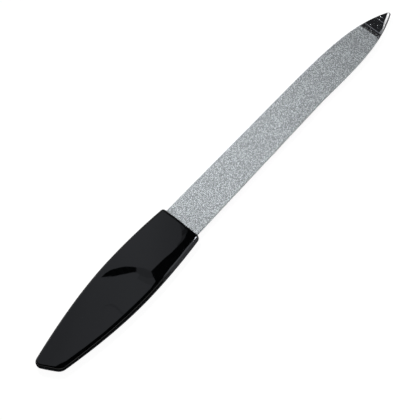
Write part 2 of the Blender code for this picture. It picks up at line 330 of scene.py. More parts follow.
def carve(builder, cutter):
    """Cut one bmesh out of another and give the result back as a new bmesh."""
    items = []
    for name, source in (("carve_body", builder), ("carve_tool", cutter)):
        bmesh.ops.recalc_face_normals(source, faces=source.faces)
        mesh = bpy.data.meshes.new(name)
        source.to_mesh(mesh)
        source.free()
        items.append(new_object(name, mesh))
    body, tool = items
    modifier = body.modifiers.new("carve", "BOOLEAN")
    modifier.operation = "DIFFERENCE"
    modifier.solver = "EXACT"
    modifier.object = tool
    graph = bpy.context.evaluated_depsgraph_get()
    result = bmesh.new()
    result.from_object(body, graph)
    for item in items:
        mesh = item.data
        bpy.data.objects.remove(item)
        bpy.data.meshes.remove(mesh)
    return result


# Materials

def fill(tree, node, values):
    """Give a node's settings, or else its inputs, of these names a value or a source."""
    for key, value in values.items():
        if hasattr(node, key):
            setattr(node, key, value)
        elif isinstance(value, bpy.types.NodeSocket):
            tree.links.new(value, node.inputs[key.replace("_", " ")])
        else:
            node.inputs[key.replace("_", " ")].default_value = value


def add_node(tree, kind, **values):
    node = tree.nodes.new(kind)
    fill(tree, node, values)
    return node


def new_material(name):
    material = bpy.data.materials.new(name)
    material.use_nodes = True
    return material, material.node_tree


def feed(material, **values):
    """Fill in a material's shader."""
    tree = material.node_tree
    fill(tree, tree.nodes["Principled BSDF"], values)
    return material


def own_place(tree):
    """A spot in the object's own coordinates."""
    return add_node(tree, "ShaderNodeTexCoord").outputs["Object"]


def stretched_noise(tree, scale, detail, stretch=(1, 1, 1)):
    """Noise over the object's own coordinates, in features per metre."""
    mapping = add_node(tree, "ShaderNodeMapping", Vector=own_place(tree), Scale=stretch)
    noise = add_node(tree, "ShaderNodeTexNoise", Vector=mapping.outputs["Vector"], Scale=scale,
                     Detail=detail)
    return noise.outputs["Fac"]


def cells(tree, scale):
    """Random grey per cell of a Voronoi pattern over the object's own coordinates."""
    pattern = add_node(tree, "ShaderNodeTexVoronoi", Vector=own_place(tree), Scale=scale)
    split = add_node(tree, "ShaderNodeSeparateColor", Color=pattern.outputs["Color"])
    return split.outputs["Red"]


def remap(tree, value, low, high, to_low, to_high):
    """Stretch one range of a value onto another, and hold it at the ends."""
    node = add_node(tree, "ShaderNodeMapRange", Value=value, From_Min=low, From_Max=high,
                    To_Min=to_low, To_Max=to_high)
    return node.outputs["Result"]


def ramp(tree, value, stops):
    node = add_node(tree, "ShaderNodeValToRGB", Fac=value)
    elements = node.color_ramp.elements
    while len(elements) < len(stops):
        elements.new(0.5)
    for element, (place, colour) in zip(elements, stops):
        element.position = place
        element.color = (*colour, 1.0)
    return node.outputs["Color"]


def bump(tree, height, distance, **under):
    """Relief of a surface, on top of another one where Normal gives it."""
    node = add_node(tree, "ShaderNodeBump", Strength=1.0, Distance=distance, Height=height,
                    **under)
    return node.outputs["Normal"]


def along_file(tree, start, end):
    """0 at one place along the file and 1 at another, with an even rise between them."""
    axes = add_node(tree, "ShaderNodeSeparateXYZ", Vector=own_place(tree)).outputs
    return remap(tree, axes["X"], ZERO.x + start, ZERO.x + end, 0.0, 1.0)


def combined(tree, operation, *values):
    """Sum or product of several values."""
    result = values[0]
    for value in values[1:]:
        node = add_node(tree, "ShaderNodeMath", operation=operation)
        tree.links.new(result, node.inputs[0])
        tree.links.new(value, node.inputs[1])
        result = node.outputs["Value"]
    return result


def grit_film(tree):
    """Share of the steel that a film of bond and dust hides, in the bare strip beside the grit."""
    reach = along_file(tree, GRIT_END - BOND_RAGGED_END, BLADE_REACH - FIRST_FLAT_LENGTH)
    strip = ramp(tree, reach, [(0.0, (0, 0, 0)), (0.2, (1, 1, 1)), (0.96, (0.85, 0.85, 0.85)),
                               (1.0, (0, 0, 0))])
    patches = combined(tree, "MULTIPLY", strip, stretched_noise(tree, 3600, 3))
    return remap(tree, patches, 0.53, 0.59, 0.0, 0.9)


def plated_steel():
    """Nickel plated steel with grinding lines across the blade and fine handling marks."""
    material, tree = new_material("plated_steel")
    lines = stretched_noise(tree, 900, 3, BLADE_LINES)
    cloud = stretched_noise(tree, 1400, 4)
    marks = remap(tree, stretched_noise(tree, 5200, 2), 0.62, 0.79, 0.0, 1.0)
    film = grit_film(tree)
    steel = ramp(tree, cloud, [(0.25, (0.50, 0.505, 0.51)), (0.75, (0.66, 0.665, 0.67))])
    colour = add_node(tree, "ShaderNodeMix", data_type="RGBA")
    colour.inputs[MIX_SECOND].default_value = (0.041, 0.043, 0.0445, 1)
    tree.links.new(film, colour.inputs[MIX_SHARE])
    tree.links.new(steel, colour.inputs[MIX_FIRST])
    polish = remap(tree, cloud, 0.3, 0.7, 0.05, 0.10)
    return feed(material, Base_Color=colour.outputs[MIX_RESULT], Specular_IOR_Level=0.18,
                Metallic=remap(tree, film, 0, 1, 1, 0),
                Roughness=combined(tree, "ADD", polish, remap(tree, film, 0, 1, 0, 0.6)),
                Normal=bump(tree, marks, 0.000012, Normal=bump(tree, lines, 0.0000012)))


def ground_bevel():
    """The hand ground bevel of the point: darker and uneven at its heel, brighter towards the nose.
    """
    material, tree = new_material("ground_bevel")
    rise = along_file(tree, BLADE_REACH - EDGE_BEVEL_LENGTH, BLADE_REACH)
    patches = remap(tree, stretched_noise(tree, 3800, 2), 0.35, 0.65, -0.22, 0.22)
    colour = ramp(tree, combined(tree, "ADD", rise, patches),
                  [(0.0, (0.16, 0.16, 0.165)), (0.2, (0.3, 0.305, 0.31)),
                   (0.35, (0.46, 0.465, 0.47)), (0.6, (0.6, 0.605, 0.61)),
                   (1.0, (0.85, 0.855, 0.86))])
    lines = stretched_noise(tree, 2600, 3, BEVEL_LINES)
    return feed(material, Base_Color=colour, Metallic=1.0, Roughness=0.15,
                Normal=bump(tree, lines, 0.000002))


def rough_steel():
    """Roughly ground steel where the bevel begins."""
    material, tree = new_material("rough_steel")
    colour = ramp(tree, stretched_noise(tree, 4200, 3),
                  [(0.3, (0.25, 0.252, 0.255)), (0.7, (0.55, 0.555, 0.56))])
    lines = stretched_noise(tree, 3000, 3, BEVEL_LINES)
    return feed(material, Base_Color=colour, Metallic=1.0, Roughness=0.5,
                Normal=bump(tree, lines, 0.000006))


def painted_shade_edge():
    """Unpolished sheared steel at the rim and the bare point's edge, near black with painted shade.
    """
    material, tree = new_material("painted_shade_edge")
    cloud = stretched_noise(tree, 6000, 3)
    return feed(material, Specular_IOR_Level=0.3,
                Roughness=remap(tree, cloud, 0.3, 0.7, 0.45, 0.7),
                Base_Color=ramp(tree, cloud, [(0.3, (0.02, 0.02, 0.021)),
                                              (0.7, (0.07, 0.071, 0.074))]),
                Normal=bump(tree, cloud, 0.00001))


def dusted_edge(name):
    """Edge beside the grit, of the steel or of a coat, covered by fine dust of grit."""
    material, tree = new_material(name)
    patch = remap(tree, stretched_noise(tree, 1500, 2), 0.3, 0.7, -0.2, 0.2)
    colour = ramp(tree, combined(tree, "ADD", cells(tree, 4200), patch),
                  [(0.0, (0.41, 0.437, 0.453)), (1.0, (0.67, 0.714, 0.741))])
    grain = stretched_noise(tree, 9000, 2)
    return feed(material, Base_Color=colour, Specular_IOR_Level=0.3, Roughness=0.7,
                Normal=bump(tree, grain, 0.00001))


def grit_grain(name, scale, stops):
    """Crushed sapphire: mostly pale grey grains, with some that are dark."""
    material, tree = new_material(name)
    tone = cells(tree, scale)
    patch = remap(tree, stretched_noise(tree, scale * 0.2, 2), 0.3, 0.7, -0.06, 0.06)
    facets = stretched_noise(tree, scale * 4, 2)
    return feed(material, Base_Color=ramp(tree, combined(tree, "ADD", tone, patch), stops),
                Specular_IOR_Level=0.3, Roughness=remap(tree, tone, 0, 1, 0.55, 0.77),
                Normal=bump(tree, facets, 0.000006))


def grit_bond(name, low, high):
    """Matt grey bond between the grains."""
    material, tree = new_material(name)
    cloud = stretched_noise(tree, 5000, 4)
    return feed(material, Base_Color=ramp(tree, cloud, [(0.3, low), (0.7, high)]),
                Roughness=remap(tree, cloud, 0.3, 0.7, 0.6, 0.85),
                Normal=bump(tree, cloud, 0.00002))


def gloss_black():
    """High gloss moulded black, with a faint unevenness of the moulded skin and hairline marks."""
    material, tree = new_material("gloss_black_plastic")
    haze = stretched_noise(tree, 900, 5)
    colour = ramp(tree, haze, [(0.3, (0.0006, 0.0007, 0.0008)), (0.7, (0.0011, 0.0012, 0.0014))])
    skin = bump(tree, stretched_noise(tree, 200, 0), 0.0000015)
    hairs = remap(tree, stretched_noise(tree, 1100, 2, HAIRLINES), 0.72, 0.8, 0.0, 1.0)
    return feed(material, Base_Color=colour, Roughness=remap(tree, haze, 0.3, 0.7, 0.012, 0.03),
                Normal=bump(tree, hairs, 0.0000003, Normal=skin))


# Blade

def blade_edge(x, side):
    """Place of the left or right edge: an even taper, then a curve down to the offset point."""
    taper = min(max(x, 0.0) / POINT_START, 1.0)
    half = (BLADE_ROOT_WIDTH + (BLADE_WAIST_WIDTH - BLADE_ROOT_WIDTH) * taper) / 2
    t = max(x - POINT_START, 0.0) / POINT_LENGTH
    power = LEFT_EDGE_POWER if side > 0 else RIGHT_EDGE_POWER
    nose = side * POINT_NOSE_WIDTH / 2 - POINT_OFFSET
    fall = side * half - POINT_DRIFT - nose
    return side * half - POINT_DRIFT * t - fall * t ** power


def blade_stations():
    """Places along the edges, close together where they curve, up to just short of the point."""
    straight = [POINT_START * step / BLADE_STEPS for step in range(BLADE_STEPS)]
    curved = [POINT_START + (BLADE_REACH - POINT_START) * step / EDGE_STEPS
              for step in range(EDGE_STEPS)]
    return straight + curved


def blade_outline():
    shoulder = -ROOT_DEPTH
    tang_end = shoulder - TANG_LENGTH
    corners = []
    for side in (1, -1):
        half_root = side * BLADE_ROOT_WIDTH / 2
        half_tang = side * TANG_WIDTH / 2
        run = [(Vector((x, blade_edge(x, side))), 0) for x in blade_stations()]
        nose = (Vector((BLADE_REACH, blade_edge(BLADE_REACH, side))), POINT_NOSE_RADIUS)
        heel = [(Vector((shoulder, half_root)), ROOT_CORNER_RADIUS),
                (Vector((shoulder, half_tang)), ROOT_CORNER_RADIUS),
                (Vector((tang_end, half_tang)), TANG_END_RADIUS)]
        half_outline = [nose] + run[::-1] + heel
        corners += half_outline if side > 0 else half_outline[::-1]
    return rounded_outline(corners)


def lock_hole_places():
    rear = -ROOT_DEPTH - TANG_LENGTH + LOCK_HOLE_FROM_END
    return (rear, rear + LOCK_HOLE_SPACING)


def grind_point(builder):
    """The two flats on each face of the bare point, and the bevel on the upper right edge."""
    half = BLADE_THICKNESS / 2
    first = Vector((BLADE_REACH - FIRST_FLAT_LENGTH, 0, half))
    drop = (FIRST_FLAT_LENGTH - SECOND_FLAT_LENGTH) * math.tan(FIRST_FLAT_ANGLE)
    second = Vector((BLADE_REACH - SECOND_FLAT_LENGTH, 0, half - drop))
    for line, angle in ((first, FIRST_FLAT_ANGLE), (second, SECOND_FLAT_ANGLE)):
        for face in (1, -1):
            normal = Vector((math.sin(angle), 0, face * math.cos(angle)))
            grind(builder, Vector((line.x, 0, face * line.z)), normal)
    bevel_start = BLADE_REACH - EDGE_BEVEL_LENGTH
    nose_height = second.z - SECOND_FLAT_LENGTH * math.tan(SECOND_FLAT_ANGLE)
    bevel_heel = Vector((bevel_start, blade_edge(bevel_start, -1), half))
    bevel_nose = Vector((BLADE_REACH, blade_edge(BLADE_REACH, -1) + EDGE_BEVEL_WIDTH, nose_height))
    along = (bevel_nose - bevel_heel).normalized()
    sideways = along.cross(Vector((0, 0, 1))).normalized()
    upward = sideways.cross(along)
    return grind(builder, bevel_nose,
                 sideways * math.sin(EDGE_BEVEL_ANGLE) + upward * math.cos(EDGE_BEVEL_ANGLE))[0]


def leave_rim(builder, bevel):
    """Part a narrow rim from the outer side of the bevel and give the faces their materials."""
    builder.normal_update()
    for face in builder.faces:
        if abs(face.normal.z) < FLAT_LIMIT:
            # Upright faces of the bare point take the edge material painted with shade
            bare = face.calc_center_median().x > GRIT_END
            face.material_index = EDGE_PAINTED_SHADE if bare else EDGE_DUSTED
    loops = list(bevel.loops)
    upright = [any(abs(face.normal.z) < FLAT_LIMIT for face in loop.edge.link_faces)
               for loop in loops]
    first = next(index for index in range(len(loops)) if upright[index] and not upright[index - 1])
    loops = loops[first:] + loops[:first]
    count = sum(upright)
    chain = [loop.vert for loop in loops[:count + 1]]
    border = [loop.vert for loop in loops[count + 1:]]
    normal = bevel.normal.copy()
    start = chain[0].co.copy()
    line = (chain[-1].co - start).normalized()
    inner = [chain[0]]
    for before, here, after in zip(chain, chain[1:], chain[2:]):
        inward = normal.cross(after.co - before.co).normalized()
        offset = here.co - start
        room = (offset - line * offset.dot(line)).length
        inner.append(builder.verts.new(here.co + inward * min(RIM_WIDTH, room / 2)))
    inner.append(chain[-1])
    bmesh.ops.delete(builder, geom=[bevel], context="FACES_ONLY")
    builder.faces.new(inner + border).material_index = BEVEL_GROUND
    # The rim takes the edge material painted with shade
    for index in range(count):
        corners = [chain[index], chain[index + 1], inner[index + 1], inner[index]]
        rim = builder.faces.new(list(dict.fromkeys(corners)))
        rim.material_index = EDGE_PAINTED_SHADE


def cut_line(builder, faces, x, normal=(1, 0, 0), y=0.0):
    """Part faces along an upright plane through x and y."""
    parts = faces + [edge for face in faces for edge in face.edges]
    parts += [corner for face in faces for corner in face.verts]
    bmesh.ops.bisect_plane(builder, geom=list(dict.fromkeys(parts)), dist=SNAP,
                           plane_co=(x, y, 0), plane_no=normal)


def scribe(builder, x, half_width):
    """Fine line across both faces, where one ground flat meets the next."""
    for shift in (-half_width, half_width, 0.0):
        cut_line(builder, builder.faces[:], x + shift)
    for corner in builder.verts:
        if abs(corner.co.x - x) < 2 * SNAP:
            corner.co.z -= math.copysign(SCRIBE_SLOPE * half_width, corner.co.z)


def upper_flat(builder, start, end=0.0):
    """Polished faces on top that lie between two distances from the point."""
    return [face for face in builder.faces
            if face.normal.z > FLAT_LIMIT and face.material_index == PLATED
            and start > BLADE_REACH - face.calc_center_median().x > end]


def rough_heel(builder):
    """Part off the corner of the first flat where the bevel begins, which is ground roughly."""
    near, far = (Vector((BLADE_REACH + x, y, 0)) for x, y in (HEEL_NEAR_POINT, HEEL_FAR_FROM_POINT))
    outward = (near - far).cross(Vector((0, 0, 1))).normalized()
    flat = upper_flat(builder, FIRST_FLAT_LENGTH, SECOND_FLAT_LENGTH)
    cut_line(builder, flat, near.x, outward, near.y)
    for face in upper_flat(builder, FIRST_FLAT_LENGTH, SECOND_FLAT_LENGTH):
        if (face.calc_center_median() - near).dot(outward) > 0:
            face.material_index = HEEL_GROUND


def nick(builder):
    """Short mark across the last flat of the upper face."""
    x = BLADE_REACH - NICK_FROM_POINT
    half_flat = NICK_HALF_LENGTH - NICK_HALF_WIDTH
    for y in (-NICK_HALF_LENGTH, -half_flat, half_flat, NICK_HALF_LENGTH):
        cut_line(builder, upper_flat(builder, SECOND_FLAT_LENGTH), 0.0, (0, 1, 0), NICK_MIDDLE + y)
    for shift in (-NICK_HALF_WIDTH, NICK_HALF_WIDTH, 0.0):
        cut_line(builder, upper_flat(builder, SECOND_FLAT_LENGTH), x + shift)
    for corner in builder.verts:
        if (abs(corner.co.x - x) < 2 * SNAP and corner.co.z > 0
                and abs(corner.co.y - NICK_MIDDLE) < half_flat + SNAP):
            corner.co.z -= NICK_DEPTH


def blank(outline):
    """Stamped steel blank whose edges are broken a little all round."""
    half = BLADE_THICKNESS / 2
    builder = bmesh.new()
    rings = [corners_over(builder, inset_loop(outline, inset), height)
             for inset, height in ((EDGE_BREAK, -half), (0, EDGE_BREAK - half),
                                   (0, half - EDGE_BREAK), (EDGE_BREAK, half))]
    tube(builder, rings)
    builder.faces.new(rings[0])
    builder.faces.new(rings[-1])
    return builder


def make_blade():
    builder = blank(blade_outline())
    for x in lock_hole_places():
        builder = carve(builder, cylinder(x, LOCK_HOLE_DIAMETER / 2, BLADE_THICKNESS))
    bmesh.ops.recalc_face_normals(builder, faces=builder.faces)
    bevel = grind_point(builder)
    leave_rim(builder, bevel)
    builder.normal_update()
    rough_heel(builder)
    nick(builder)
    scribe(builder, BLADE_REACH - FIRST_FLAT_LENGTH, FIRST_SCRIBE_HALF_WIDTH)
    scribe(builder, BLADE_REACH - SECOND_FLAT_LENGTH, SECOND_SCRIBE_HALF_WIDTH)
    materials = [plated_steel(), ground_bevel(), painted_shade_edge(), dusted_edge("dusted_edge"),
                 rough_steel()]
    return add_piece("steel_blade", builder, materials, "blade", flat_faces=True)


# Grit

def make_bond(name, face, materials, node, seed):
    """Thin uneven layer on one face of the blade, ragged where it ends short of the point."""
    draw = np.random.default_rng(seed)
    columns = round((GRIT_END - GRIT_START) / BOND_STEP)
    rows = round(BLADE_ROOT_WIDTH / BOND_STEP)
    low = BLADE_THICKNESS / 2 + COAT_CLEARANCE
    ragged = draw.uniform(-1, 1, rows + 1)
    ragged = np.convolve(np.pad(ragged, 1, mode="edge"), RAGGED_BLUR, mode="valid")
    builder = bmesh.new()
    sheets = []
    for top in (False, True):
        sheet = []
        for column in range(columns + 1):
            line = []
            for row in range(rows + 1):
                reach = GRIT_END + BOND_RAGGED_END * ragged[row]
                x = GRIT_START + (reach - GRIT_START) * column / columns
                right = blade_edge(x, -1) + GRIT_MARGIN
                left = blade_edge(x, 1) - GRIT_MARGIN
                y = right + (left - right) * row / rows
                rise = BOND_THICKNESS + draw.uniform(-1, 1) * BOND_ROUGHNESS if top else 0.0
                line.append(builder.verts.new((x, y, face * (low + rise))))
            sheet.append(line)
        sheets.append(sheet)
        net(builder, sheet)
    borders = [(sheet[0], sheet[-1], [line[0] for line in sheet], [line[-1] for line in sheet])
               for sheet in sheets]
    for below, above in zip(*borders):
        for index in range(len(below) - 1):
            corners = (below[index], below[index + 1], above[index + 1], above[index])
            builder.faces.new(corners).material_index = BOND_SIDE
    return add_piece(name, builder, materials, node)


def random_turns(draw, count):
    """Rotation matrices of evenly spread random turns."""
    q = draw.normal(size=(count, 4))
    q /= np.linalg.norm(q, axis=1)[:, None]
    w, x, y, z = q.T
    return np.stack([
        np.stack([1 - 2 * (y * y + z * z), 2 * (x * y - z * w), 2 * (x * z + y * w)], -1),
        np.stack([2 * (x * y + z * w), 1 - 2 * (x * x + z * z), 2 * (y * z - x * w)], -1),
        np.stack([2 * (x * z - y * w), 2 * (y * z + x * w), 1 - 2 * (x * x + y * y)], -1)], 1)


def grain_places(spacing, draw):
    """Spots for the grains: staggered rows over the coat, each moved a little at random."""
    spots = []
    row_gap = spacing * math.sqrt(3) / 2
    half_rows = int(BLADE_ROOT_WIDTH / 2 / row_gap)
    for row in range(-half_rows, half_rows + 1):
        stagger = spacing / 2 if row % 2 else 0.0
        for step in range(int((GRIT_END + STRAY_REACH - GRIT_START) / spacing)):
            dx, dy = draw.uniform(-GRAIN_JITTER, GRAIN_JITTER, 2) * spacing
            x = GRIT_START + stagger + step * spacing + dx
            y = row * row_gap + dy
            beyond = (x - GRIT_END) / STRAY_REACH
            if beyond < 0 or draw.uniform() < STRAY_SHARE * (1 - beyond):
                spots.append((x, y))
    return [(x, y) for x, y in spots
            if blade_edge(x, -1) + GRIT_MARGIN < y < blade_edge(x, 1) - GRIT_MARGIN]


def make_grains(name, face, spacing, size, material, seed):
    """Crushed sapphire grains: irregular eight-sided shards, half sunk in the bond."""
    draw = np.random.default_rng(seed)
    spots = np.array(grain_places(spacing, draw))
    count = len(spots)
    corners = np.array([(1, 0, 0), (-1, 0, 0), (0, 1, 0), (0, -1, 0), (0, 0, 1), (0, 0, -1)],
                       float)
    sides = np.array([(0, 2, 4), (2, 1, 4), (1, 3, 4), (3, 0, 4),
                      (2, 0, 5), (1, 2, 5), (3, 1, 5), (0, 3, 5)])
    shards = corners[None] * draw.uniform(GRAIN_SHORTEST, GRAIN_LONGEST, (count, 6, 1)) * size
    shards += draw.uniform(-GRAIN_SKEW, GRAIN_SKEW, (count, 6, 3)) * size
    shards[spots[:, 0] > GRIT_END] *= STRAY_SIZE
    shards = np.einsum("nij,nkj->nki", random_turns(draw, count), shards)
    shards[:, :, 2] *= GRAIN_FLATNESS
    base = BLADE_THICKNESS / 2 + COAT_CLEARANCE
    peak = base + GRIT_THICKNESS - draw.uniform(0.0, GRAIN_SINK, count) * GRIT_THICKNESS
    shards[:, :, 2] += (peak - shards[:, :, 2].max(axis=1))[:, None]
    shards[:, :, 2] = np.maximum(shards[:, :, 2], base)
    shards[:, :, :2] += spots[:, None, :]
    shards[:, :, 2] *= face
    shards += np.array(ZERO)
    faces = (sides[None] + 6 * np.arange(count)[:, None, None]).reshape(-1, 3)
    if face < 0:
        faces = faces[:, ::-1]
    mesh = bpy.data.meshes.new(name)
    mesh.from_pydata(shards.reshape(-1, 3).tolist(), [], faces.tolist())
    return place_piece(name, mesh, [material])


def make_grit():
    coarse = grit_grain("coarse_sapphire", 4600, [
        (0.08, (0.245, 0.261, 0.271)), (0.30, (0.553, 0.589, 0.612)), (1.0, (0.680, 0.725, 0.752))])
    fine = grit_grain("fine_sapphire", 6500, [
        (0.08, (0.32, 0.341, 0.354)), (0.30, (0.50, 0.533, 0.553)), (1.0, (0.62, 0.661, 0.685))])
    coarse_bond = grit_bond("coarse_bond", (0.118, 0.126, 0.131), (0.283, 0.302, 0.313))
    fine_bond = grit_bond("fine_bond", (0.20, 0.213, 0.221), (0.34, 0.362, 0.376))
    side = dusted_edge("dusted_coat_side")
    make_bond("coarse_grit_bond", 1, [coarse_bond, side], "coarse_grit_coat", 11)
    make_bond("fine_grit_bond", -1, [fine_bond, side], "fine_grit_coat", 12)
    make_grains("coarse_grit_grains", 1, COARSE_SPACING, COARSE_GRAIN, coarse, 21)
    make_grains("fine_grit_grains", -1, FINE_SPACING, FINE_GRAIN, fine, 22)


# Handle

def handle_fall(x, front_fall, butt_fall):
    """How much a size has fallen from its greatest, to the front and, more straightly, the butt."""
    behind = -x - HANDLE_WIDEST_BEHIND_FRONT
    if behind < 0:
        return front_fall * (behind / HANDLE_WIDEST_BEHIND_FRONT) ** 2
    t = behind / (HANDLE_LENGTH - HANDLE_WIDEST_BEHIND_FRONT)
    return butt_fall * t * t * (1 + HANDLE_TAIL_STRAIGHTNESS) / (1 + HANDLE_TAIL_STRAIGHTNESS * t)


def handle_half(x, greatest, front, butt):
    return (greatest - handle_fall(x, greatest - front, greatest - butt)) / 2


def handle_middle(x):
    return HANDLE_LEAN * x / HANDLE_LENGTH


def handle_side(x, side):
    half = handle_half(x, HANDLE_WIDTH, HANDLE_FRONT_WIDTH, HANDLE_BUTT_WIDTH)
    return Vector((x, handle_middle(x) + side * half))


def butt_corner(side):
    """Where the slanted butt meets a side, found by repeated approach."""
    x = -HANDLE_LENGTH
    for _ in range(SOLVE_STEPS):
        x = -HANDLE_LENGTH - math.tan(BUTT_SLANT) * handle_side(x, side).y
    return handle_side(x, side)


def side_run(side, butt_radius):
    butt = butt_corner(side)
    butt_angle = math.pi / 2 - side * BUTT_SLANT
    start = FRONT_REACH - corner_reach(FRONT_CORNER_RADIUS, math.pi / 2)
    end = butt.x + corner_reach(butt_radius, butt_angle)
    return [handle_side(start + (end - start) * step / SIDE_STEPS, side)
            for step in range(SIDE_STEPS + 1)]


def even_run(start, end):
    return [start.lerp(end, step / END_STEPS) for step in range(1, END_STEPS)]


def handle_rails():
    """The handle's outline as four runs that meet in the middle of its rounded corners."""
    left = side_run(1, BUTT_LEFT_RADIUS)
    right = side_run(-1, BUTT_RIGHT_RADIUS)
    front_left, front_right = handle_side(FRONT_REACH, 1), handle_side(FRONT_REACH, -1)
    butt_left, butt_right = butt_corner(1), butt_corner(-1)
    arc_fl = round_corner(front_right, front_left, left[0], FRONT_CORNER_RADIUS)
    arc_bl = round_corner(left[-1], butt_left, butt_right, BUTT_LEFT_RADIUS)
    arc_br = round_corner(butt_left, butt_right, right[-1], BUTT_RIGHT_RADIUS)
    arc_fr = round_corner(right[0], front_right, front_left, FRONT_CORNER_RADIUS)
    half = CORNER_STEPS // 2
    return (arc_fl[half:] + left + arc_bl[:half + 1],
            arc_bl[half:] + even_run(arc_bl[-1], arc_br[0]) + arc_br[:half + 1],
            arc_br[half:] + right[::-1] + arc_fr[:half + 1],
            arc_fr[half:] + even_run(arc_fr[-1], arc_fl[0]) + arc_fl[:half + 1])


def whole_loop(rails):
    return [point for rail in rails for point in rail[:-1]]


def handle_crown(point):
    """Height of the crowned face above the middle of the steel."""
    middle = handle_half(point.x, CREST_THICKNESS, FRONT_THICKNESS, BUTT_THICKNESS)
    shoulder = handle_half(point.x, CREST_SHOULDER, FRONT_SHOULDER, BUTT_SHOULDER)
    half_width = handle_half(point.x, HANDLE_WIDTH, HANDLE_FRONT_WIDTH, HANDLE_BUTT_WIDTH)
    across = (point.y - handle_middle(point.x)) / half_width
    return middle - (middle - shoulder) * across ** 2


def inward(loop, index):
    """Direction into a loop, square to it at one of its points."""
    along = (loop[(index + 1) % len(loop)] - loop[index - 1]).normalized()
    return Vector((-along.y, along.x))


def inset_loop(loop, distance):
    return [point + inward(loop, index) * distance for index, point in enumerate(loop)]


def wall_rings(builder, face, loop, parting):
    """Side wall from the parting groove up, and the rounded shoulder in to the crown, which is
    wider along the front edge than at the sides and the butt."""
    rings = [parting, corners_over(builder, loop, face * PARTING_HALF_WIDTH)]
    for step in range(FILLET_STEPS + 1):
        turn = math.pi / 2 * step / FILLET_STEPS
        ring = []
        for index, point in enumerate(loop):
            normal = inward(loop, index)
            frontal = max(-normal.x, 0.0) ** 2
            radius = SHOULDER_RADIUS + (FRONT_EDGE_RADIUS - SHOULDER_RADIUS) * frontal
            inner = point + normal * (SIDE_DRAFT + radius * (1 - math.cos(turn)))
            height = handle_crown(inner) - radius * (1 - math.sin(turn))
            ring.append(builder.verts.new((inner.x, inner.y, face * height)))
        rings.append(ring)
    tube(builder, rings)
    return ring


def crown_grid(builder, face, ring, side_count, end_count):
    """Fill the ring round the crown with a net of quads that blends its four sides."""
    closed = ring + ring[:1]
    left = closed[:side_count + 1]
    butt = closed[side_count:side_count + end_count + 1]
    right = closed[side_count + end_count:2 * side_count + end_count + 1][::-1]
    front = closed[2 * side_count + end_count:][::-1]
    grid = [front]
    for row in range(1, side_count):
        u = row / side_count
        line = [left[row]]
        for column in range(1, end_count):
            v = column / end_count
            between_sides = left[row].co.xy.lerp(right[row].co.xy, v)
            between_ends = front[column].co.xy.lerp(butt[column].co.xy, u)
            front_chord = left[0].co.xy.lerp(right[0].co.xy, v)
            butt_chord = left[-1].co.xy.lerp(right[-1].co.xy, v)
            point = between_sides + between_ends - front_chord.lerp(butt_chord, u)
            line.append(builder.verts.new((point.x, point.y, face * handle_crown(point))))
        grid.append(line + [right[row]])
    net(builder, grid + [butt])


def socket_outline():
    """The hollow for the blade's root and tang, open at the handle's front."""
    gap = TANG_CLEARANCE
    shoulder = -ROOT_DEPTH - gap
    tang_end = -ROOT_DEPTH - TANG_LENGTH - gap
    root_half = BLADE_ROOT_WIDTH / 2 + gap
    tang_half = TANG_WIDTH / 2 + gap
    corners = []
    for side in (1, -1):
        half = [(Vector((OVERCUT, side * root_half)), 0),
                (Vector((shoulder, side * root_half)), ROOT_CORNER_RADIUS + gap),
                (Vector((shoulder, side * tang_half)), ROOT_CORNER_RADIUS - gap),
                (Vector((tang_end, side * tang_half)), TANG_END_RADIUS + gap)]
        corners += half if side > 0 else half[::-1]
    return rounded_outline(corners)


def make_handle():
    rails = handle_rails()
    loop = whole_loop(rails)
    builder = bmesh.new()
    parting = corners_over(builder, inset_loop(loop, PARTING_DEPTH), 0.0)
    for face in (1, -1):
        ring = wall_rings(builder, face, loop, parting)
        crown_grid(builder, face, ring, len(rails[0]) - 1, len(rails[1]) - 1)
    grind(builder, Vector((0, 0, REST_FLAT_DEPTH - CREST_THICKNESS / 2)), Vector((0, 0, -1)))

    half_space = BLADE_THICKNESS / 2 + TANG_CLEARANCE
    socket = plate(socket_outline(), -half_space, half_space)
    for x in lock_hole_places():
        plug = cylinder(x, LOCK_HOLE_DIAMETER / 2 - TANG_CLEARANCE, BLADE_THICKNESS)
        socket = carve(socket, plug)
    mouth_half = BLADE_ROOT_WIDTH / 2 + TANG_CLEARANCE
    mouth_back = GRIT_START - TANG_CLEARANCE
    mouth_rim = [Vector(place) for place in ((OVERCUT, mouth_half), (mouth_back, mouth_half),
                                             (mouth_back, -mouth_half), (OVERCUT, -mouth_half))]
    mouth_space = BLADE_THICKNESS / 2 + COAT_CLEARANCE + GRIT_THICKNESS + TANG_CLEARANCE
    builder = carve(builder, socket)
    builder = carve(builder, plate(mouth_rim, -mouth_space, mouth_space))
    return add_piece("black_handle", builder, [gloss_black()], "handle")


# Studio

def empty_tree(owner):
    owner.use_nodes = True
    owner.node_tree.nodes.clear()
    return owner.node_tree


def seen_directly(tree):
    """1 for camera, mirror and glass rays, which see the white background, and 0 for the rest."""
    path = add_node(tree, "ShaderNodeLightPath")
    return combined(tree, "ADD", *[path.outputs[name] for name in (
        "Is Camera Ray", "Is Glossy Ray", "Is Transmission Ray")])


def show_mix(tree, output_kind, share, lighting, backdrop):
    """Give the world or the floor one shader as a source of light and one as what is seen."""
    mix = add_node(tree, "ShaderNodeMixShader")
    for source, socket in zip((share, lighting.outputs[0], backdrop.outputs[0]), mix.inputs):
        tree.links.new(source, socket)
    add_node(tree, output_kind, Surface=mix.outputs[0])


def make_world():
    world = bpy.data.worlds.new("studio")
    bpy.context.scene.world = world
    tree = empty_tree(world)
    lighting, backdrop = [
        add_node(tree, "ShaderNodeBackground", Color=(*WHITE, 1), Strength=strength)
        for strength in (WORLD_DIFFUSE, 1.0)]
    show_mix(tree, "ShaderNodeOutputWorld", seen_directly(tree), lighting, backdrop)


def stage_face(name, corners, material):
    mesh = bpy.data.meshes.new(name)
    mesh.from_pydata(corners, [], [tuple(range(len(corners)))])
    mesh.materials.append(material)
    return new_object(name, mesh)


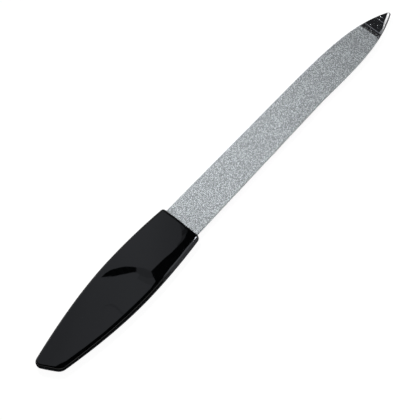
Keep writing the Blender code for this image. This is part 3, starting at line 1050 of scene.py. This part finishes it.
def make_floor():
    material = bpy.data.materials.new("floor_paint")
    tree = empty_tree(material)
    paint = add_node(tree, "ShaderNodeBsdfDiffuse", Color=FLOOR_PAINT)
    glow = add_node(tree, "ShaderNodeEmission", Strength=FLOOR_GLOW)
    share = remap(tree, seen_directly(tree), 0, 1, 0.0, FLOOR_SHARE)
    show_mix(tree, "ShaderNodeOutputMaterial", share, paint, glow)
    corners = [(FLOOR_HALF * x, FLOOR_HALF * y, 0) for x, y in ((-1, -1), (1, -1), (1, 1), (-1, 1))]
    floor = stage_face("floor", corners, material)


def card_sweep(tree):
    """The overhead card's brightness: a soft rise and fall from the butt's end to the blade's."""
    axes = add_node(tree, "ShaderNodeSeparateXYZ", Vector=own_place(tree)).outputs
    slanted = add_node(tree, "ShaderNodeMath", operation="MULTIPLY_ADD")
    slanted.inputs[1].default_value = CARD_SLANT
    tree.links.new(axes["Y"], slanted.inputs[0])
    tree.links.new(axes["X"], slanted.inputs[2])
    stops = [(place, (CARD_RADIANCE * level,) * 3) for place, level in SWEEP_LEVELS]
    return ramp(tree, remap(tree, slanted.outputs["Value"], *SWEEP_RANGE, 0.0, 1.0), stops)


def studio_card(name, corners, radiance, tint=CARD_TINT, sweep=False):
    """Card or flag that only mirrors see."""
    material = bpy.data.materials.new(name + "_face")
    tree = empty_tree(material)
    glow = add_node(tree, "ShaderNodeEmission", Color=(*tint, 1), Strength=radiance)
    if sweep:
        tree.links.new(card_sweep(tree), glow.inputs["Strength"])
    add_node(tree, "ShaderNodeOutputMaterial", Surface=glow.outputs[0])
    card = stage_face(name, corners, material)
    card.visible_camera = False
    card.visible_diffuse = False
    card.visible_shadow = False


def level_card(name, radiance, height, points, **looks):
    studio_card(name, [(x, y, height) for x, y in points], radiance, **looks)


def flag(name, radiance, drops, points, **looks):
    """Card so many drops below the overhead card, or above it."""
    level_card(name, radiance, CARD_HEIGHT - drops * FLAG_DROP, points, **looks)


def make_cards():
    flag("overhead_card", CARD_RADIANCE, 0, [
        (-0.10, 0.04), (0.006, 0.038), (0.010, -0.008), (0.030, -0.031), (0.055, -0.046),
        (0.145, -0.054), (0.156, -0.042), (0.158, -0.008), (0.160, 0.026), (0.164, 0.059),
        (0.194, 0.057), (0.206, 0.052), (0.218, 0.058), (0.227, 0.064), (0.235, 0.076),
        (0.244, 0.097), (0.251, 0.121), (0.262, 0.154), (0.269, 0.188), (0.273, 0.223),
        (0.277, 0.277), (0.276, 0.335), (0.272, 0.45), (0.272, 1.1), (-0.10, 1.1)], sweep=True)
    flag("front_shade", 0.27, 1, [
        (0.269, 0.188), (0.262, 0.154), (0.257, 0.138), (0.2505, 0.138), (0.252, 0.141),
        (0.264, 0.188)])
    flag("front_shade_middle", 0.15, 1, [
        (0.257, 0.138), (0.256, 0.121), (0.248, 0.103), (0.239, 0.103), (0.2505, 0.138)])
    flag("front_shade_low", 0.27, 1, [
        (0.248, 0.103), (0.244, 0.097), (0.235, 0.076), (0.227, 0.064), (0.218, 0.058),
        (0.219, 0.067), (0.230, 0.081), (0.239, 0.103)])
    flag("boom_flag", BLACK, 1, [
        (0.152, 0.158), (0.161, 0.201), (0.161, 0.338), (0.159, 0.424), (0.153, 0.454),
        (0.144, 0.460), (0.141, 0.331), (0.145, 0.239)])
    flag("boom_shade", 0.38, 1, [
        (0.161, 0.199), (0.163, 0.135), (0.163, 0.060), (0.159, 0.020), (0.156, 0.000),
        (0.150, 0.041), (0.149, 0.107), (0.151, 0.160)])
    flag("boom_haze", 0.46, 0.75, [
        (0.150, 0.122), (0.151, 0.048), (0.156, 0.006), (0.155, -0.029), (0.148, -0.048),
        (0.143, 0.014), (0.142, 0.108)])
    flag("card_seam", 0.44, 1, [
        (0.087, 0.158), (0.092, 0.156), (0.096, 0.131), (0.095, 0.069), (0.092, 0.010),
        (0.089, -0.040), (0.086, -0.040), (0.089, 0.010), (0.092, 0.069), (0.093, 0.128),
        (0.090, 0.151), (0.086, 0.153)])
    flag("side_flag_rear", BLACK, -1, [
        (-0.30, -0.60), (0.16, -0.60), (0.16, 0.04), (-0.30, 0.04)])
    flag("side_flag_front", BLACK, -2, [
        (0.15, -0.60), (0.28, -0.60), (0.32, 0.02), (0.32, 0.12), (0.15, 0.12)])
    flag("point_flag", 0.0245, -3, [
        (0.24, -0.01), (0.80, -0.01), (0.80, 1.10), (0.24, 1.10)])
    flag("bevel_card", 1.30, -3, [
        (0.42, -0.42), (0.95, -0.42), (0.95, -0.02), (0.42, -0.02)], tint=WHITE)
    studio_card("side_wall_flag", [(-0.30, -0.60, 0.60), (0.28, -0.60, 0.60),
                                   (0.28, -0.60, 0.16), (-0.30, -0.60, 0.16)], BLACK)
    studio_card("low_front_card", [(0.195, -0.59, 0.0), (0.42, -0.59, 0.0),
                                   (0.42, -0.59, 0.60), (0.215, -0.59, 0.60)], 0.60)
    flag("front_side_card", 1.30, 1, [
        (0.232, 0.030), (0.221, 0.011), (0.211, -0.008), (0.198, -0.031), (0.182, -0.047),
        (0.179, -0.080), (0.180, -0.200), (0.215, -0.380), (0.265, -0.556), (0.400, -0.556),
        (0.400, -0.060), (0.300, 0.000)])
    flag("corner_glint_card", 42.0, 1.5, [
        (0.2310, 0.006), (0.2318, -0.027), (0.2625, -0.195), (0.270, -0.240), (0.284, -0.240),
        (0.268, -0.180), (0.2365, -0.011), (0.2335, 0.010)])
    studio_card("front_wall_flag", [(0.80, 0.03, 0.62), (0.80, 0.70, 0.62),
                                    (0.80, 0.70, 0.0), (0.80, 0.03, 0.0)], BLACK)
    level_card("butt_flag", BLACK, 0.20, [
        (-0.09, -0.40), (-0.09, 0.60), (-0.80, 0.60), (-0.80, -0.40)])
    make_floor_shades()


def make_floor_shades():
    """Shades on the floor that only mirrors see: one round the handle's foot, and wider ones
    that fan out to the right the way its side mirrors the floor."""
    foot = [(*(point + ZERO.xy), FOOT_SHADE_HEIGHT)
            for point in inset_loop(whole_loop(handle_rails()), -FOOT_SHADE_WIDTH)]
    studio_card("foot_shade", foot, 0.09)
    start = [(-0.0305, -0.0080), (-0.0163, -0.0070)]
    level_card("glow_line", 0.50, 0.00012, start + [
        (-0.0140, -0.0119), (0.0100, -0.0570), (-0.0110, -0.0595), (-0.0290, -0.0130)])
    level_card("glow_far", 0.36, 0.00014, start + [(-0.0140, -0.0119), (-0.0290, -0.0130)])
    level_card("glow_mid", 0.15, 0.00016, start + [(-0.0150, -0.0090), (-0.0300, -0.0101)])
    level_card("glow_near", 0.08, 0.00018, start + [(-0.0155, -0.0077), (-0.0305, -0.0088)])
    level_card("glow_end", 0.12, 0.00018, [
        (-0.0340, -0.0082), (-0.0305, -0.0080), (-0.0290, -0.0130), (-0.0330, -0.0115)])
    level_card("rear_shade", 0.03, 0.0001, [
        (-0.30, 0.03), (-0.0163, 0.03), (-0.0163, -0.0070), (-0.0285, -0.0075), (-0.0285, -0.0130),
        (0.2050, -0.6240), (-0.30, -0.6240)])


def add_softbox(name, place, aim, mirrored, **values):
    """Area lamp at one place that faces another and has its settings of these names set."""
    data = bpy.data.lights.new(name, "AREA")
    data.shape = "RECTANGLE"
    for key, value in values.items():
        setattr(data, key, value)
    lamp = new_object(name, data)
    lamp.location = place
    lamp.rotation_euler = (Vector(aim) - Vector(place)).to_track_quat("-Z", "Y").to_euler()
    lamp.visible_camera = False
    lamp.visible_glossy = mirrored


def make_lights():
    add_softbox("key_softbox", (0.0, 0.10, 0.20), (-0.003, 0, 0), mirrored=False,
                size=0.06, size_y=0.06, energy=0.068, spread=KEY_SPREAD)
    add_softbox("strip_softbox", (0.54, -0.33, 0.09), (-0.02, 0, 0), mirrored=True,
                size=0.16, size_y=0.14, energy=0.03, spread=math.pi)


def make_camera():
    data = bpy.data.cameras.new("camera")
    data.lens = CAMERA_LENS
    data.sensor_width = CAMERA_SENSOR
    data.clip_start, data.clip_end = CAMERA_CLIP
    back = Vector((math.sin(CAMERA_AZIMUTH) * math.cos(CAMERA_ELEVATION),
                   -math.cos(CAMERA_AZIMUTH) * math.cos(CAMERA_ELEVATION),
                   math.sin(CAMERA_ELEVATION)))
    camera = new_object("camera", data)
    camera.location = CAMERA_AIM + back * CAMERA_DISTANCE
    camera.rotation_euler = (-back).to_track_quat("-Z", "Y").to_euler()
    bpy.context.scene.camera = camera


def make_scene():
    bpy.context.scene.view_settings.view_transform = "Standard"
    make_camera()
    make_world()
    make_floor()
    make_cards()
    make_lights()
    make_blade()
    make_grit()
    make_handle()


make_scene()
